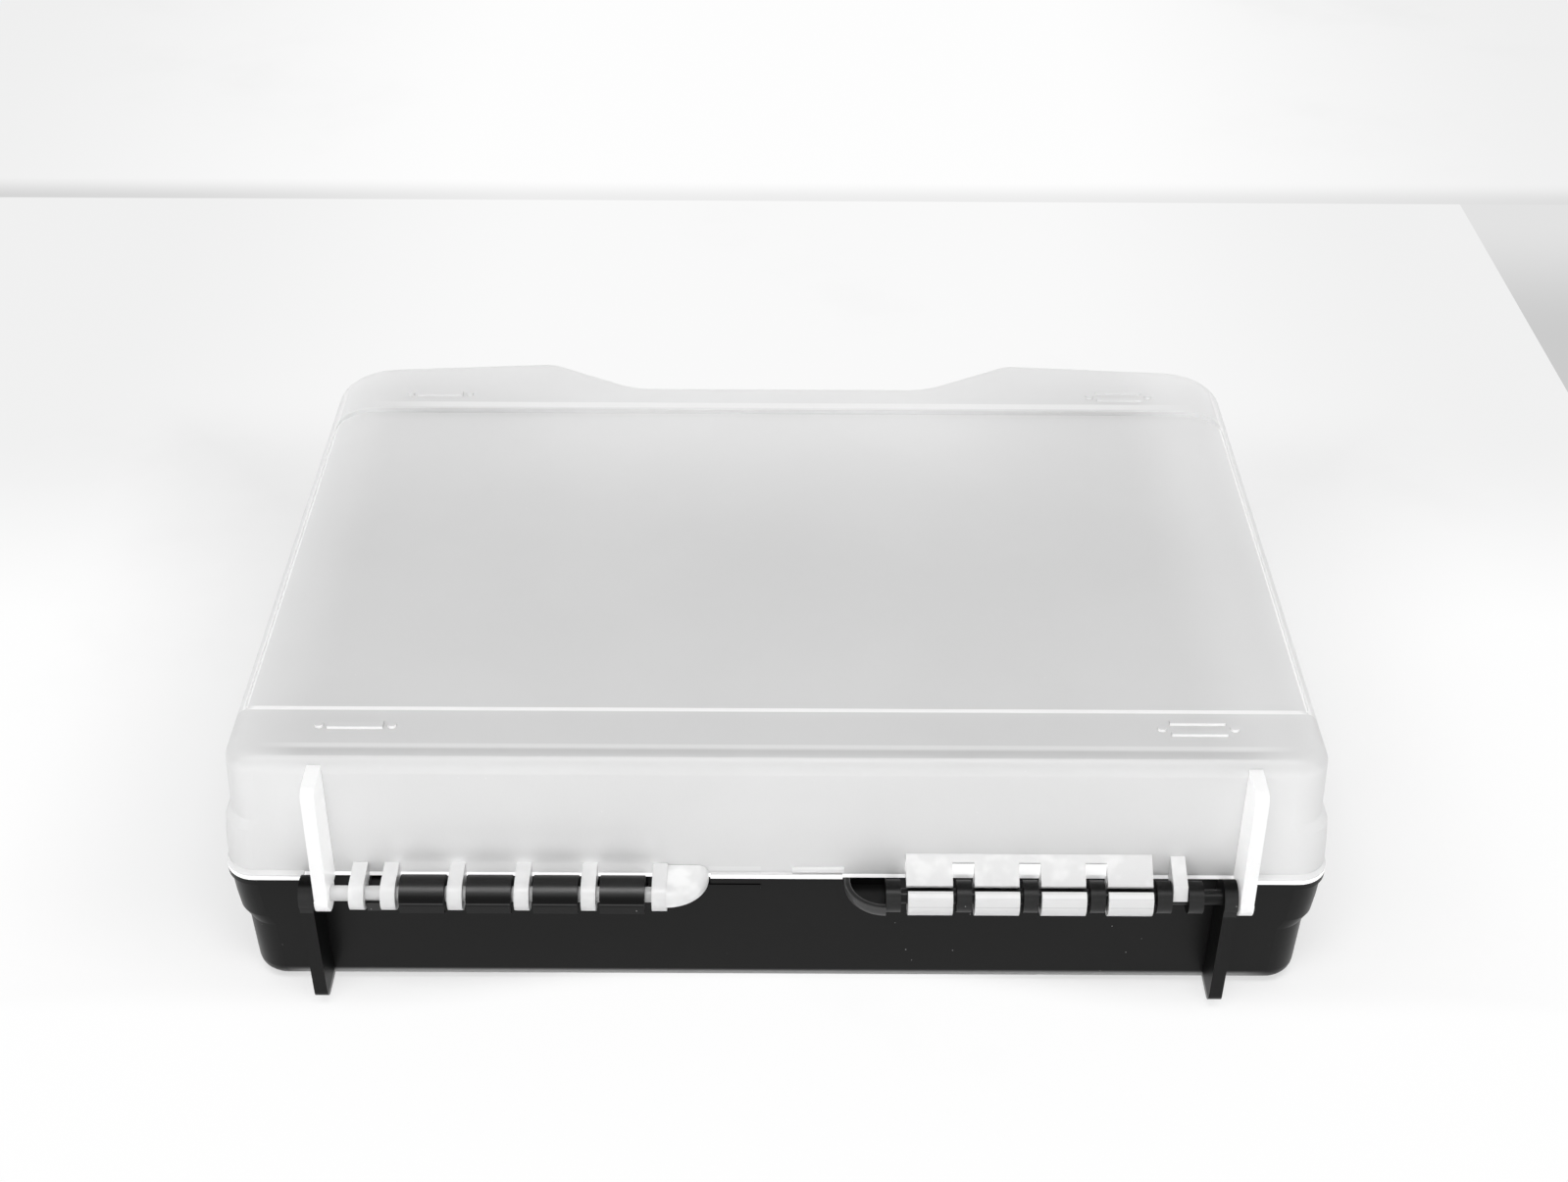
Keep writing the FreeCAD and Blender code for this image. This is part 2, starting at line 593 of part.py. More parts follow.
def add_clip_plate(label, turned):
    """The sloping plate that carries the clips, notched where the other half's knuckles turn."""
    body = new_body(label)
    corners = [
        (wall_y("sizes.plate_top"), "-sizes.plate_top"),
        ("sizes.plate_front_y", "-sizes.plate_top"),
        ("sizes.plate_front_y", "-sizes.plate_top - sizes.plate_edge"),
        (wall_y("sizes.plate_root"), "-sizes.plate_root"),
    ]
    start = row_start(FIRST_CLIP_X, "sizes.clip_width", ROW_STEPS)
    sketch = draw(body, label + "_section", "YZ_Plane", start + " - sizes.plate_margin", corners)
    length = "%s * %s + sizes.clip_width + sizes.plate_margin * 2" % (PITCH, ROW_STEPS)
    extrude(body, "Pad", label + "_bar", sketch, length)
    front = "sizes.plate_front_y - sizes.overrun"
    back = "sizes.plate_front_y + sizes.notch_depth"
    top = "-sizes.plate_top + sizes.overrun"
    low = "-sizes.plate_root"
    notch_corners = [(front, low), (back, low), (back, top), (front, top)]
    first = row_start(FIRST_KNUCKLE_X, "sizes.knuckle_width", "(%s - 1)" % ROW_STEPS)
    notch = draw(body, label + "_notch_section", "YZ_Plane", first + " - sizes.notch_side_gap",
                 notch_corners)
    pocket = extrude(body, "Pocket", label + "_notch", notch,
                     "sizes.knuckle_width + sizes.notch_side_gap * 2")
    repeat(body, label + "_notches", [pocket], "X_Axis", PITCH, ROW_STEPS)
    place(body, turned)
    return body


def add_rod_stop(label, turned):
    """A wedge on the wall whose hollow nose bears on the rod of the other half."""
    body = new_body(label)
    seat = "sizes.stop_seat"
    seat_y = "sqrt(%s^2 - %s^2)" % (CLIP_BORE, seat)
    corners = [
        (wall_y(seat), "-" + seat),
        (seat_y, "-" + seat),
        ("~-" + seat_y, "-" + seat),
        ("-sizes.stop_front_y", "-" + seat),
        ("-sizes.stop_nose_y", "-sizes.stop_nose"),
        (wall_y("sizes.stop_root"), "-sizes.stop_root"),
    ]
    sketch = draw(body, label + "_section", "YZ_Plane", "-%s - sizes.stop_width" % STOP_X,
                  corners, {1: "right"})
    extrude(body, "Pad", label + "_wedge", sketch, "sizes.stop_width")
    place(body, turned)
    return body


def add_rod_scoop(label, turned):
    """The rounded scoop that closes the row at the rod's inner end, open to the parting plane."""
    body = new_body(label)
    height = "sizes.scoop_height"
    sketch = draw_scoop(body, label + "_block_plan", "-" + height, "sizes.scoop_radius")
    block = extrude(body, "Pad", label + "_block", sketch, height)
    round_edges(body, label + "_edge", block, "sizes.scoop_edge_radius",
                lambda edge: on_scoop_edge(edge, -size("scoop_height")))
    wall = "sizes.scoop_wall"
    sketch = draw_scoop(body, label + "_hollow_plan", "-%s + %s" % (height, wall),
                        "sizes.scoop_radius - " + wall)
    hollow = extrude(body, "Pocket", label + "_hollow", sketch, height)
    round_edges(body, label + "_inner_edge", hollow, "sizes.scoop_edge_radius - " + wall,
                lambda edge: on_scoop_edge(edge, size("scoop_wall") - size("scoop_height")))
    place(body, turned)
    return body


def on_scoop_edge(edge, level):
    """True for the edges round a level of the scoop, but not for those at the wall and knuckle."""
    middle, span = edge_box(edge)
    small = size("rod_fit")
    inner = value(ROD_X) - middle.x > small and size("hinge_wall_y") - middle.y > small
    return inner and abs(middle.z - level) < small and span.z < small


def draw_scoop(body, name, offset, radius):
    """A quarter round that starts a little before the wall and runs into it straight."""
    middle = Vector(value(ROD_X), size("scoop_middle_y"))
    wall = size("hinge_wall_y")
    reach = value(radius)
    sketch = body.newObject("Sketcher::SketchObject", name)
    sketch.AttachmentSupport = [(origin_item(body, "XY_Plane"), "")]
    sketch.MapMode = "FlatFace"
    sketch.setExpression("AttachmentOffset.Base.z", offset)
    at_wall = Vector(middle.x, wall)
    far_at_wall = Vector(middle.x - reach, wall)
    arc_start = middle - Vector(reach, 0)
    arc_end = middle - Vector(0, reach)
    circle = Part.Circle(middle, Vector(0, 0, 1), reach)
    sketch.addGeometry(Part.LineSegment(at_wall, far_at_wall), False)
    sketch.addGeometry(Part.LineSegment(far_at_wall, arc_start), False)
    sketch.addGeometry(Part.ArcOfCircle(circle, math.pi, math.pi * 1.5), False)
    sketch.addGeometry(Part.LineSegment(arc_end, at_wall), False)
    sketch.addConstraint(Sketcher.Constraint("Coincident", 0, 2, 1, 1))
    sketch.addConstraint(Sketcher.Constraint("Tangent", 1, 2, 2, 1))
    sketch.addConstraint(Sketcher.Constraint("Coincident", 2, 2, 3, 1))
    sketch.addConstraint(Sketcher.Constraint("Coincident", 3, 2, 0, 1))
    sketch.addConstraint(Sketcher.Constraint("Horizontal", 0))
    sketch.addConstraint(Sketcher.Constraint("Vertical", 1))
    sketch.addConstraint(Sketcher.Constraint("Vertical", 3))
    sketch.addConstraint(Sketcher.Constraint("PointOnObject", 2, 3, 3))
    sizes = [("middle_x", "DistanceX", 2, 3, middle.x, ROD_X),
             ("middle_y", "DistanceY", 2, 3, middle.y, "sizes.scoop_middle_y"),
             ("wall", "DistanceY", 0, 1, wall, "sizes.hinge_wall_y")]
    for title, kind, geometry, point, now, expression in sizes:
        sketch.addConstraint(Sketcher.Constraint(kind, -1, 1, geometry, point, now))
        sketch.renameConstraint(sketch.ConstraintCount - 1, title)
        sketch.setExpression("Constraints." + title, expression)
    sketch.addConstraint(Sketcher.Constraint("Radius", 2, reach))
    sketch.renameConstraint(sketch.ConstraintCount - 1, "reach")
    sketch.setExpression("Constraints.reach", radius)
    return sketch


def add_foot(label, start, bored, form, turned):
    """A standing foot: a rib down the hinge wall with a round end about the hinge axis."""
    body = new_body(label + "_blank")
    end = "sizes.foot_length"
    root = "sizes.hinge_wall_y + sizes.foot_root"
    radius = "sizes.foot_radius"
    groove = "sizes.foot_groove_drop"
    groove_y = "-sqrt(%s^2 - %s^2)" % (radius, groove)
    corners = [
        (root, "0"),
        (radius, "0"),
        ("~" + groove_y, "-" + groove),
        (groove_y + " + sizes.foot_groove_depth", "-" + groove),
        ("-%s + sizes.foot_setback" % radius, "-" + end),
        (root, "-" + end),
    ]
    sketch = draw(body, label + "_section", "YZ_Plane", start, corners, {1: "left"})
    pad = extrude(body, "Pad", label + "_rib", sketch, "sizes.foot_width")
    toe = size("foot_radius") - size("foot_setback")

    def at_toe(edge):
        middle, span = edge_box(edge)
        on_corner = Vector(0, middle.y + toe, middle.z + size("foot_length")).Length < size("overrun")
        return span.x > size("foot_width") / 2 and on_corner

    round_edges(body, label + "_toe", pad, "sizes.foot_corner", at_toe)
    if bored:
        bore = draw_circle(body, label + "_bore_section", "YZ_Plane", start, "0", "0", BORE_RADIUS)
        extrude(body, "Pocket", label + "_bore", bore, "sizes.rod_end_depth")
    return trimmed(label, body, form, turned)


# Stacking marks

def bar_corners(x, y, length, width):
    left = "%s - %s / 2" % (x, length)
    right = "%s + %s / 2" % (x, length)
    near = "%s - %s / 2" % (y, width)
    far = "%s + %s / 2" % (y, width)
    return [(left, near), (right, near), (right, far), (left, far)]


def add_marks(label, turned):
    """Raised bars and dots at four corners; the single bar of one case seats between twin bars."""
    body = new_body(label)
    level = "-sizes.half_height - sizes.mark_height"
    y = "sizes.mark_near_y"
    twin = "sizes.mark_twin_spacing / 2"
    bars = [
        ("single", MARK_X, y, "sizes.mark_bar_width"),
        ("twin_near", "-" + MARK_X, "%s - %s" % (y, twin), "sizes.mark_twin_width"),
        ("twin_far", "-" + MARK_X, "%s + %s" % (y, twin), "sizes.mark_twin_width"),
    ]
    raised = []
    for name, x, bar_y, width in bars:
        sketch = draw(body, "%s_%s_plan" % (label, name), "XY_Plane", level,
                      bar_corners(x, bar_y, "sizes.mark_bar_length", width))
        raised.append(extrude(body, "Pad", "%s_%s" % (label, name), sketch, "sizes.mark_height"))
    dots = [(side, end) for side in ("", "-") for end in ("+", "-")]
    for number, (side, end) in enumerate(dots):
        x = "%s%s %s sizes.mark_dot_offset" % (side, MARK_X, end)
        sketch = draw_circle(body, "%s_dot%d_plan" % (label, number), "XY_Plane", level, x, y,
                             "sizes.mark_dot_radius")
        raised.append(extrude(body, "Pad", "%s_dot%d" % (label, number), sketch, "sizes.mark_height"))
    spacing = "%s - sizes.mark_far_margin - sizes.mark_near_y" % RECESS_Y
    repeat(body, label + "_far", raised, "Y_Axis", spacing, "2")
    place(body, turned)
    return body


# Carrying handle

def add_handle(label, form, turned):
    """One half of the carrying handle, a bow whose posts seat on the floor of the hand recess."""
    body = new_body(label + "_bow")
    half = HANDLE_HALF
    inner = "(%s - sizes.handle_post)" % half
    root = RECESS_Y + " - sizes.handle_root"
    reach = HANDLE_REACH
    bar = reach + " - sizes.handle_bar"
    corners = [
        (half, root), (half, reach), ("-" + half, reach), ("-" + half, root),
        ("-" + inner, root), ("-" + inner, bar), (inner, bar), (inner, root),
    ]
    sketch = draw(body, label + "_plan", "XY_Plane", "-sizes.handle_half_height", corners)
    pad = extrude(body, "Pad", label + "_block", sketch, "sizes.handle_half_height")
    height = size("handle_half_height")

    near = size("rod_fit")

    def upright_at(edge, y):
        middle, span = edge_box(edge)
        return span.z > height / 2 and abs(middle.y - y) < near

    outer = round_edges(body, label + "_outer_corners", pad, "sizes.handle_corner",
                        lambda edge: upright_at(edge, value(reach)))
    inside = round_edges(body, label + "_inner_corners", outer, "sizes.handle_inner_corner",
                         lambda edge: upright_at(edge, value(bar)))

    def grip_edge(edge):
        middle, span = edge_box(edge)
        low = abs(middle.z + height) < near and span.z < near
        return low and middle.y > value(RECESS_Y)

    round_edges(body, label + "_grip", inside, "sizes.handle_grip_radius", grip_edge)
    return trimmed(label, body, form, turned)


def trimmed(label, blank, form, turned):
    """Cuts the case's outside off a blank, so that it seats on the wall."""
    cut = doc.addObject("Part::Cut", label)
    cut.Label = label
    cut.Base = blank
    cut.Tool = form
    place(cut, turned)
    return cut


# Latches

def rail_section(stem, head):
    """The rail's outline: a stem on the parting plane and a head behind which a latch hooks."""
    root = "sizes.shoulder_y - sizes.rail_root"
    head_back = "sizes.shoulder_y + sizes.rail_reach"
    head_front = "sizes.shoulder_y + sizes.rail_reach + sizes.rail_head"
    return [(root, "0"), (root, "-" + stem), (head_back, "-" + stem), (head_back, "-" + head),
            (head_front, "-" + head), (head_front, "0")]


def add_rails(label, form, turned):
    """The long rail with its end stops, and the short rail that takes the other half's latch."""
    body = new_body(label + "_blank")
    section = rail_section("sizes.rail_stem", "sizes.rail_head_height")
    stop_section = rail_section("sizes.rail_stop_height", "sizes.rail_stop_height + sizes.overrun")
    short = "(sizes.latch_length + sizes.short_rail_extra)"
    pieces = [
        ("long", "-" + RAIL_OUTER_X, section, "%s - %s" % (RAIL_OUTER_X, RAIL_INNER_X)),
        ("outer_stop", "-%s - sizes.rail_stop" % RAIL_OUTER_X, stop_section, "sizes.rail_stop"),
        ("inner_stop", "-" + RAIL_INNER_X, stop_section, "sizes.rail_stop"),
        ("short", "%s - %s" % (RAIL_OUTER_X, short), section, short),
    ]
    for name, start, corners, length in pieces:
        sketch = draw(body, "%s_%s_section" % (label, name), "YZ_Plane", start, corners)
        extrude(body, "Pad", "%s_%s" % (label, name), sketch, length)
    return trimmed(label, body, form, turned)


def add_latch(label, turned):
    """A slider that hooks behind the rails of both halves; at rest it stands open, on one rail."""
    body = new_body(label)
    back = "sizes.shoulder_y + sizes.rail_reach - sizes.latch_gap"
    front = "sizes.shoulder_y + sizes.rail_reach + sizes.rail_head + sizes.latch_gap"
    lip_back = "%s - sizes.latch_wall" % back
    face = "%s + sizes.latch_wall" % front
    lip = "sizes.rail_stem + sizes.latch_gap * 2"
    room = "sizes.rail_head_height + sizes.latch_gap"
    outside = "sizes.rail_head_height + sizes.latch_gap + sizes.latch_wall"
    corners = [
        (face, "-(%s)" % outside), (face, outside), (lip_back, outside), (lip_back, lip),
        (back, lip), (back, room), (front, room), (front, "-(%s)" % room),
        (back, "-(%s)" % room), (back, "-(%s)" % lip), (lip_back, "-(%s)" % lip),
        (lip_back, "-(%s)" % outside),
    ]
    start = "-%s - sizes.latch_gap - sizes.latch_length" % RAIL_INNER_X
    sketch = draw(body, label + "_section", "YZ_Plane", start, corners)
    pad = extrude(body, "Pad", label + "_channel", sketch, "sizes.latch_length")
    outer_face = body.evalExpression(face)

    def outer_edge(edge):
        middle, span = edge_box(edge)
        return span.x > size("latch_wall") and abs(middle.y - outer_face) < size("latch_gap")

    round_edges(body, label + "_edges", pad, "sizes.latch_edge", outer_edge)
    rib = "sizes.rail_head_height"
    top = "%s + sizes.latch_rib_height" % face
    rib_corners = [(face, "-" + rib), (top, "-%s + sizes.latch_rib_height" % rib),
                   (top, "%s - sizes.latch_rib_height" % rib), (face, rib)]
    sketch = draw(body, label + "_rib_section", "YZ_Plane", start + " + sizes.latch_rib_margin",
                  rib_corners)
    first = extrude(body, "Pad", label + "_rib", sketch, "sizes.latch_rib_width")
    spacing = ("(sizes.latch_length - sizes.latch_rib_margin * 2 - sizes.latch_rib_width)"
               " / (sizes.latch_rib_count - 1)")
    repeat(body, label + "_ribs", [first], "X_Axis", spacing, "sizes.latch_rib_count")
    place(body, turned)
    return body


# The case: the base, and the lid that is the same half turned over

outside = doc.addObject("Part::Feature", "outside_form")
outside.Shape = outer_form()
shell = shell_shape()
lip = lip_shape()
nodes = []
for half, shell_label, turned in (("base", "base_tray", False), ("lid", "lid_cover", True)):
    nodes += [
        add_shape(shell_label, shell, turned),
        add_shape(half + "_rim_lip", lip, turned),
        add_rod(half + "_hinge_rod", turned),
        add_knuckles(half + "_hinge_knuckles", turned),
        add_clips(half + "_hinge_clips", turned),
        add_clip_plate(half + "_clip_plate", turned),
        add_rod_stop(half + "_rod_stop", turned),
        add_rod_scoop(half + "_rod_scoop", turned),
        add_foot(half + "_inner_foot", INNER_FOOT_X, True, outside, turned),
        add_foot(half + "_outer_foot", "-%s - sizes.foot_width" % OUTER_FOOT_X, False, outside,
                 turned),
        add_marks(half + "_stacking_marks", turned),
        add_handle(half + "_handle", outside, turned),
        add_rails(half + "_latch_rails", outside, turned),
    ]
nodes.append(add_latch("latch_left", False))
nodes.append(add_latch("latch_right", True))
doc.recompute()

# Every object has to be sound before anything is written
for item in doc.Objects:
    if "Invalid" in item.State or "Error" in item.State:
        raise RuntimeError("%s did not recompute: %s" % (item.Name, item.State))
for node in nodes:
    if node.Shape.isNull() or not node.Shape.isValid() or not node.Shape.Solids:
        raise RuntimeError("%s has no sound solid" % node.Label)

os.makedirs("parts", exist_ok=True)
for node in nodes:
    node.Shape.exportStep(os.path.join("parts", node.Label + ".step"))
    print(node.Label, len(node.Shape.Solids), round(node.Shape.Volume, 1))
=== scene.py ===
import math

import bpy
from mathutils import Matrix, Vector


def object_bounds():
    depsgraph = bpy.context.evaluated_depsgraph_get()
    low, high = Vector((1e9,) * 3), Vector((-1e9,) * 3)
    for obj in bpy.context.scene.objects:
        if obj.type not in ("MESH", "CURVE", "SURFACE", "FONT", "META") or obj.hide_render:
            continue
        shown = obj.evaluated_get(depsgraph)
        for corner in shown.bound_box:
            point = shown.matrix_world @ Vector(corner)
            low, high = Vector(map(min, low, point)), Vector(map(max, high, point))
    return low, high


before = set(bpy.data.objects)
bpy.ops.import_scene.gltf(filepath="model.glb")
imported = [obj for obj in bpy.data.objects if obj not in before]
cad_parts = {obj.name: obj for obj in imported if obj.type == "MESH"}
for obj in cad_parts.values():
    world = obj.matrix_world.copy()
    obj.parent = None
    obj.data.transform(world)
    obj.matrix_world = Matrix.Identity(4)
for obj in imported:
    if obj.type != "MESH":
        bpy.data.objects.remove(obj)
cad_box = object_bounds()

MM = 0.001
scene = bpy.context.scene


# Shader maths

SOFT_BORDER, SPECK_CORE = 0.15 * MM, 0.6


class Value:
    """A number that varies over a surface. Each operator adds the Math node that works it out."""

    def __init__(self, paint, socket):
        self.paint, self.socket = paint, socket

    def __add__(self, other):
        return self.paint.maths("ADD", self, other)

    def __sub__(self, other):
        return self.paint.maths("SUBTRACT", self, other)

    def __rsub__(self, other):
        return self.paint.maths("SUBTRACT", other, self)

    def __mul__(self, other):
        return self.paint.maths("MULTIPLY", self, other)

    def __truediv__(self, other):
        return self.paint.maths("DIVIDE", self, other)

    def __rtruediv__(self, other):
        return self.paint.maths("DIVIDE", other, self)

    def __pow__(self, other):
        return self.paint.maths("POWER", self, other)

    def __rpow__(self, other):
        return self.paint.maths("POWER", other, self)

    def __lt__(self, other):
        return self.paint.maths("LESS_THAN", self, other)

    def __gt__(self, other):
        return self.paint.maths("GREATER_THAN", self, other)

    def __abs__(self):
        return self.paint.maths("ABSOLUTE", self)

    __radd__ = __add__
    __rmul__ = __mul__


class Paint:
    """The node tree of a material or a world, with the patterns that the finishes here are made of."""

    def __init__(self, owner, place="Object"):
        owner.use_nodes = True
        self.owner, self.tree = owner, owner.node_tree
        self.tree.nodes.clear()
        self.place = self.node("ShaderNodeTexCoord").outputs[place]
        parts = self.node("ShaderNodeSeparateXYZ", Vector=self.place)
        self.x, self.y, self.z = (Value(self, socket) for socket in parts.outputs)

    def node(self, kind, settings=None, **sockets):
        """Adds a node: its settings first, then its sockets, each a number, colour or link.

        A socket goes by its name or, where a node's names repeat, by i and its number.
        """
        node = self.tree.nodes.new(kind)
        for key, value in (settings or {}).items():
            setattr(node, key, value)
        for key, value in sockets.items():
            self.feed(node.inputs[int(key[1:]) if key[1:].isdigit() else key.replace("_", " ")], value)
        return node

    def feed(self, socket, value):
        """Links a socket to a Value or another socket, or sets it to a number or colour."""
        if isinstance(value, Value):
            value = value.socket
        if isinstance(value, bpy.types.NodeSocket):
            self.tree.links.new(value, socket)
        else:
            socket.default_value = value

    def maths(self, operation, *values):
        """What a Math node works out from the values."""
        sockets = {f"i{n}": value for n, value in enumerate(values)}
        return Value(self, self.node("ShaderNodeMath", {"operation": operation}, **sockets).outputs[0])

    def most(self, first, *others):
        """The largest of the values."""
        for other in others:
            first = self.maths("MAXIMUM", first, other)
        return first

    def between(self, value, low, high, change=1.0):
        """A ramp from 0 at low to change at high, smooth, and even beyond both. High may be the smaller."""
        ramp = {"Value": value, "From_Min": low, "From_Max": high, "To_Max": change}
        node = self.node("ShaderNodeMapRange", {"interpolation_type": "SMOOTHSTEP"}, **ramp)
        return Value(self, node.outputs[0])

    def strip(self, value, low, high, change=1.0, soft=SOFT_BORDER):
        """change between low and high, with soft borders, and 0 outside them."""
        start = self.between(value, low - soft, low + soft, change)
        return start * self.between(value, high + soft, high - soft)

    def noise(self, size, detail=2.0, place=None, rough=0.5):
        """Soft noise from 0 to 1 whose blots are about size metres across."""
        node = self.node("ShaderNodeTexNoise", Vector=place or self.place, Scale=1 / size,
                         Detail=detail, Roughness=rough)
        return Value(self, node.outputs[0])

    def specks(self, spacing, radius):
        """1 within radius of scattered points about spacing apart, in metres, 0 elsewhere."""
        node = self.node("ShaderNodeTexVoronoi", Vector=self.place, Scale=1 / spacing)
        edge = radius / spacing
        return self.between(Value(self, node.outputs["Distance"]), edge, SPECK_CORE * edge)

    def facing(self, axis, low, high, change=1.0):
        """A ramp over the normal's part along an axis of the object, from 0 at low to change at high."""
        normal = self.node("ShaderNodeTexCoord").outputs["Normal"]
        part = self.node("ShaderNodeSeparateXYZ", Vector=normal).outputs[axis]
        return self.between(Value(self, part), low, high, change)

    def stretched(self, x, y, z):
        """The place with each axis scaled, so that a pattern runs along the axes given under 1."""
        return self.node("ShaderNodeMapping", Vector=self.place, Scale=(x, y, z)).outputs[0]

    def tone(self, level):
        """The grey of a level from 0 to 1. A level that doesn't vary needs no node."""
        if not isinstance(level, Value):
            return grey(level)
        ends = {"i6": grey(0.0), "i7": grey(1.0)}
        return self.node("ShaderNodeMix", {"data_type": "RGBA"}, i0=level, **ends).outputs[2]

    def bump(self, height, relief):
        """The normal over a relief of height times relief metres."""
        return self.node("ShaderNodeBump", Strength=1.0, Distance=relief, Height=height).outputs[0]

    def shader(self, kind="ShaderNodeBsdfPrincipled", **sockets):
        return self.node(kind, **sockets).outputs[0]

    def mixed(self, share, first, second):
        return self.shader("ShaderNodeMixShader", i0=share, i1=first, i2=second)

    def finish(self, shader, kind="ShaderNodeOutputMaterial"):
        """Ends the tree with the shader and gives back the material or world that it belongs to."""
        self.tree.links.new(shader, self.node(kind).inputs[0])
        return self.owner


def grey(level):
    return (level, level, level, 1.0)


# Places on the case: heights, then places along Y, then the hook row and the scoop's centre

HIGHEST, MARK_RISE = cad_box[1].z, 0.8 * MM
PARTING, TOP, FOOT_HEAD = HIGHEST / 2, HIGHEST - MARK_RISE, 38.4 * MM
FRONT_EDGE, FRONT_RIDGE, BACK_RIDGE = -107 * MM, -90.2 * MM, 74.6 * MM
HINGE_WALL, BAR_WALL = -111 * MM, -111.5 * MM
HOOK_ROW = {"low": -106 * MM, "high": -33 * MM, "soft": 2 * MM}
SCOOP_X, SCOOP_Y = 30.15 * MM, -114.25 * MM

# Both plastics: how they bend light, then their grain, and how light goes into the frosted one

IOR = 1.49
GRAIN, BLACK_GRAIN, GRAIN_RELIEF = 0.45 * MM, 0.40 * MM, 0.02 * MM
MILKY = {"Subsurface_Weight": 0.4, "Subsurface_Radius": (1.0, 1.0, 1.0)}


def frosted(paint, glow, **look):
    """Natural polypropylene, with a painted glow of the level glow."""
    return paint.shader(Emission_Color=paint.tone(glow), Emission_Strength=1.0, IOR=IOR, **look)


# Painted highlights and painted shade along the edges of the lid's floor. Strips and ramps are start, end
# and what they add, which is 1 if not given

RIDGE_LIGHT = (FRONT_RIDGE - 0.5 * MM, FRONT_RIDGE + 3.0 * MM, 0.30)
SIDE_LIGHT = (147.2 * MM, 148.2 * MM, 0.22)
SIDE_EDGE = (148.2 * MM, 150 * MM, 0.08)
BACK_LIGHT = (BACK_RIDGE + 1.2 * MM, BACK_RIDGE + 4.5 * MM, 0.12)
BACK_PAINTED_SHADE = (BACK_RIDGE - 0.4 * MM, BACK_RIDGE + 0.4 * MM, -0.08)
EDGE_LIGHT = (FRONT_EDGE + 0.2 * MM, FRONT_EDGE + 1.8 * MM, 0.09)
EDGE_PAINTED_SHADE = (FRONT_EDGE - 2.7 * MM, FRONT_EDGE - 0.4 * MM, -0.085)
RIDGE_ENDS, BACK_ENDS, EDGE_ENDS = (147.5 * MM, 144 * MM), (142 * MM, 110 * MM), (143 * MM, 125 * MM)
ON_FLOOR = (TOP - 3.5 * MM, TOP - 2.5 * MM)


def painted_edge_light_and_shade(paint):
    """Painted highlights at the ridges, sides and front edge of the lid's floor, and painted shade beside
    them.
    """
    across = abs(paint.x)
    ridge = paint.strip(paint.y, *RIDGE_LIGHT) * paint.between(across, *RIDGE_ENDS)
    sides = paint.strip(across, *SIDE_LIGHT) + paint.strip(across, *SIDE_EDGE)
    back = paint.strip(paint.y, *BACK_LIGHT) + paint.strip(paint.y, *BACK_PAINTED_SHADE)
    edge = paint.strip(paint.y, *EDGE_LIGHT) + paint.strip(paint.y, *EDGE_PAINTED_SHADE)
    lines = ridge + sides * (paint.y > FRONT_RIDGE)
    lines = lines + back * paint.between(across, *BACK_ENDS) + edge * paint.between(across, *EDGE_ENDS)
    return lines * paint.between(paint.z, *ON_FLOOR)


# Painted light and painted shade at the locating bars on the hinge wall: along X with their strength, then
# up the wall

RIGHT_BAR, LEFT_BAR = (4.4 * MM, 18.9 * MM, 1.0), (-18.9 * MM, -4.4 * MM, 0.4)
BAR_PAINTED_LIGHT = (PARTING + 2.3 * MM, PARTING + 3.8 * MM, 0.10)
BAR_SHADE = (PARTING + 1.6 * MM, PARTING + 2.2 * MM, -0.10)


def painted_bar_light_and_shade(paint):
    """The locating bars near the middle of the hinge wall, with painted light on their faces and a painted
    shade line under them.
    """
    bars = paint.strip(paint.x, *RIGHT_BAR) + paint.strip(paint.x, *LEFT_BAR)
    heights = paint.strip(paint.z, *BAR_PAINTED_LIGHT) + paint.strip(paint.z, *BAR_SHADE)
    return bars * heights * (paint.y < BAR_WALL)


# The lid's floor, with painted light and shade

FLOOR_LEVEL = 0.668
RIGHT_SIDE, LEFT_SIDE = (112 * MM, 136 * MM, 0.074), (-126 * MM, -146 * MM, 0.074)
BOTH_SIDES = (140 * MM, 150 * MM, 0.04)
TO_BACK = (-20 * MM, 105 * MM, 0.222)
BACK_CORNERS, CORNER_DEPTH = (40 * MM, 115 * MM, 0.5), (115 * MM, 70 * MM)
BEFORE_RIDGE = (-88 * MM, -96 * MM, -0.02)


def floor_painted_light_level(paint):
    """The lid's floor with painted light and shade: dim over the dark hollow, lighter along its sides and in
    the middle of its back.
    """
    across = abs(paint.x)
    sides = paint.between(paint.x, *RIGHT_SIDE) + paint.between(paint.x, *LEFT_SIDE)
    corners = paint.between(across, *BACK_CORNERS) * paint.between(paint.y, *CORNER_DEPTH)
    level = FLOOR_LEVEL + sides + paint.between(paint.y, *TO_BACK) * (1 - corners)
    return level + paint.between(across, *BOTH_SIDES) + paint.between(paint.y, *BEFORE_RIDGE)


# The stacking marks, with painted light and a painted glow on their edges toward the hinge

TO_HINGE, NEAR_HINGE = (-0.1, -0.5), (50 * MM, -60 * MM)
MARK_PAINTED_LIGHT, NEAR_PAINTED_LIGHT, NEAR_PAINTED_GLOW = 0.06, 0.16, 0.20
MARK_BLOTS, MARK_ROUGHNESS, MARK_UNEVEN = 3 * MM, 0.36, 0.04


